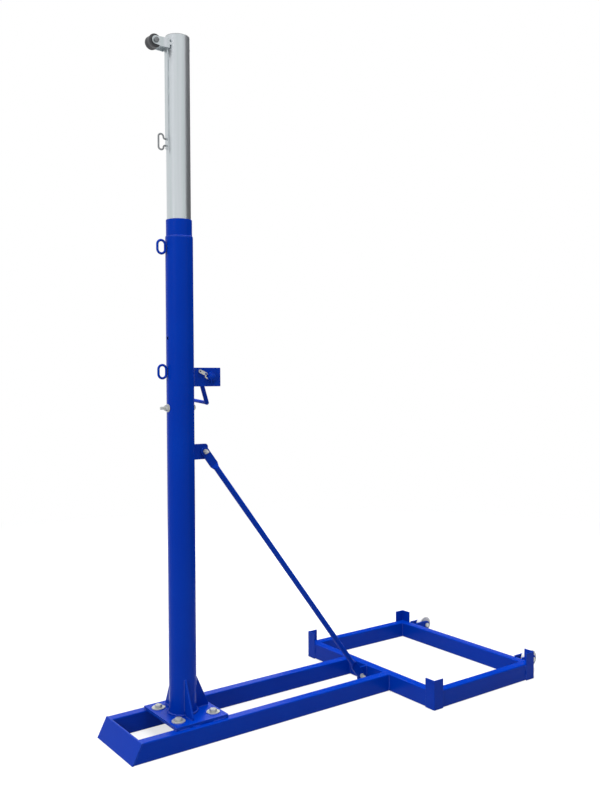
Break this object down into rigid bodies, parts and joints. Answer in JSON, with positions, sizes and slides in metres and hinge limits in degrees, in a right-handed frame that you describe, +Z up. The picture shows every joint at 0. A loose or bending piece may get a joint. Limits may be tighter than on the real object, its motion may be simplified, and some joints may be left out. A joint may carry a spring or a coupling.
{
  "type": "volleyball_net_post",
  "caption": "Freestanding volleyball net post: blue steel post on a wheeled ballast trolley, sliding aluminium mast with cord roller, ratchet winch and cord hooks",
  "frame": {"origin": "On the floor, under the middle of the object's length and width.", "axes": "+X runs along the rails from the net side to the wheels, +Y runs across the rails toward the crank side, +Z is up along the post."},
  "size_m": [1.884, 0.832, 2.56],
  "materials": {
    "blue_paint": "glossy blue powder coat",
    "mast_aluminium": "satin, drawn tube",
    "zinc_steel": "bright zinc plate",
    "dark_plastic": "moulded, dark grey",
    "grey_plastic": "moulded, mid grey",
    "white_plastic": "moulded nylon, white"
  },
  "bodies": {
    "base": {"rail_front": "blue_paint", "rail_rear": "blue_paint", "toe_plate": "blue_paint", "frame_tube_inner": "blue_paint", "frame_tube_outer": "blue_paint", "frame_tube_front": "blue_paint", "frame_tube_rear": "blue_paint", "corner_inner_front": "blue_paint", "corner_inner_rear": "blue_paint", "corner_outer_front": "blue_paint", "corner_outer_rear": "blue_paint", "base_plate": "blue_paint", "post_flange": "blue_paint", "gusset_front": "blue_paint", "gusset_rear": "blue_paint", "gusset_back": "blue_paint", "foot_bolts": "zinc_steel", "foot_washers": "zinc_steel", "foot_nuts": "zinc_steel", "main_post": "blue_paint", "guide_sleeve": "blue_paint", "cord_hook_high": "blue_paint", "cord_hook_low": "blue_paint", "brace_lug_high": "blue_paint", "brace_lug_low": "blue_paint", "brace": "blue_paint", "brace_bolts": "zinc_steel", "brace_nuts": "zinc_steel", "winch_plate_front": "blue_paint", "winch_plate_rear": "blue_paint", "pawl_pin": "blue_paint", "wheel_fork_front": "blue_paint", "wheel_fork_rear": "blue_paint", "axle_bolts": "zinc_steel", "axle_nuts": "zinc_steel"},
    "mast": {"mast_tube": "mast_aluminium", "mast_cap": "grey_plastic", "mast_strip": "mast_aluminium", "mast_hook": "mast_aluminium", "roller_yoke": "mast_aluminium", "yoke_rivet": "mast_aluminium", "roller_bolt": "zinc_steel", "roller_nut": "zinc_steel"},
    "roller": {"roller": "dark_plastic"},
    "winch": {"winch_shaft": "blue_paint", "winch_drum": "blue_paint", "ratchet_wheel": "blue_paint", "ratchet_nut": "blue_paint", "crank_arm": "blue_paint", "crank_grip": "blue_paint"},
    "pawl": {"pawl": "zinc_steel"},
    "lock_bolt": {"lock_bolt": "zinc_steel"},
    "lock_nut": {"lock_nut": "zinc_steel", "lock_washer": "zinc_steel"},
    "wheel_front": {"wheel_front": "white_plastic"},
    "wheel_rear": {"wheel_rear": "white_plastic"}
  },
  "joints": [
    {"name": "mast_slide", "type": "slide", "parent": "base", "child": "mast", "axis": [0, 0, 1], "range_m": [0, 0.255]},
    {"name": "roller_spin", "type": "hinge", "parent": "mast", "child": "roller", "pos_m": [-0.765, 0, 2.522], "axis": [0, 1, 0], "continuous": true},
    {"name": "winch_turn", "type": "hinge", "parent": "base", "child": "winch", "pos_m": [-0.553, 0, 1.322], "axis": [0, 1, 0], "continuous": true},
    {"name": "pawl_swing", "type": "hinge", "parent": "base", "child": "pawl", "pos_m": [-0.578, -0.0315, 1.3335], "axis": [0, 1, 0], "range_deg": [0, 75]},
    {"name": "lock_bolt_pull", "type": "slide", "parent": "base", "child": "lock_bolt", "axis": [1, 0, 0], "range_m": [0, 0.15]},
    {"name": "lock_nut_off", "type": "slide", "parent": "base", "child": "lock_nut", "axis": [-1, 0, 0], "range_m": [0, 0.035]},
    {"name": "wheel_front_spin", "type": "hinge", "parent": "base", "child": "wheel_front", "pos_m": [0.902, -0.334, 0.054], "axis": [0, 1, 0], "continuous": true},
    {"name": "wheel_rear_spin", "type": "hinge", "parent": "base", "child": "wheel_rear", "pos_m": [0.902, 0.334, 0.054], "axis": [0, 1, 0], "continuous": true}
  ]
}
